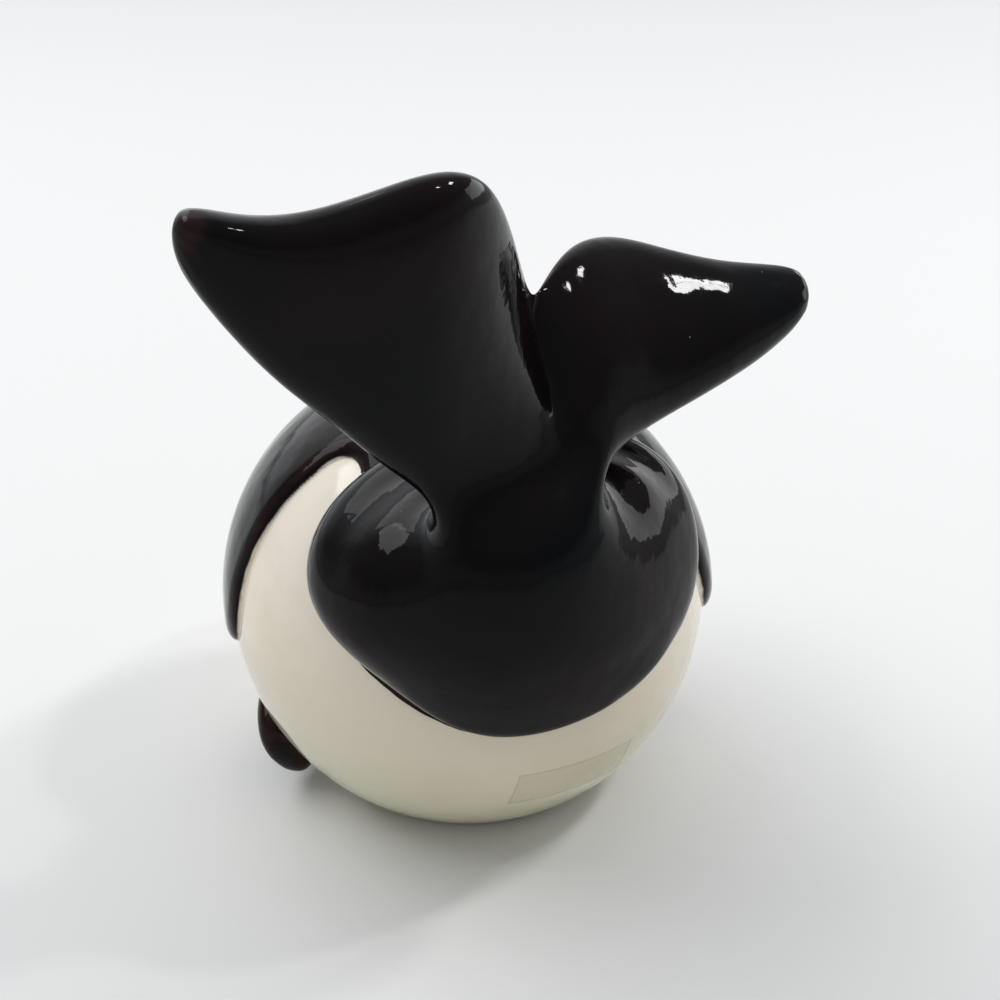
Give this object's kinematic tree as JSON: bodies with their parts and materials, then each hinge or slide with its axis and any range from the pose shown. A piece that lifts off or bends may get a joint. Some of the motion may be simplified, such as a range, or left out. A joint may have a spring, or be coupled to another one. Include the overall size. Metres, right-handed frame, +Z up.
{
  "type": "coin bank",
  "caption": "Round glazed ceramic coin bank shaped like an orca, with a raised fluked tail, a coin slot in its back and a soft pull-out plug in its base.",
  "frame": {"origin": "middle of the bounding box, on the surface the foot ring stands on", "axes": "+Z up, the orca faces -Y and its own left side is +X"},
  "size_m": [0.1136, 0.1204, 0.1381],
  "materials": {
    "belly_glaze": "gloss glaze, ivory with a black back",
    "black_glaze": "gloss black glaze",
    "plug": "soft matt",
    "film": "clear gloss film"
  },
  "bodies": {
    "bank": {"body_shell": "belly_glaze", "tail_casting": "black_glaze", "dorsal_fin": "black_glaze", "left_flipper": "black_glaze", "right_flipper": "black_glaze", "clear_label": "film"},
    "plug": {"base_plug": "plug"}
  },
  "joints": [
    {"name": "plug_pull", "type": "slide", "parent": "bank", "child": "plug", "axis": [0, 0, -1], "range_m": [0, 0.05]}
  ]
}
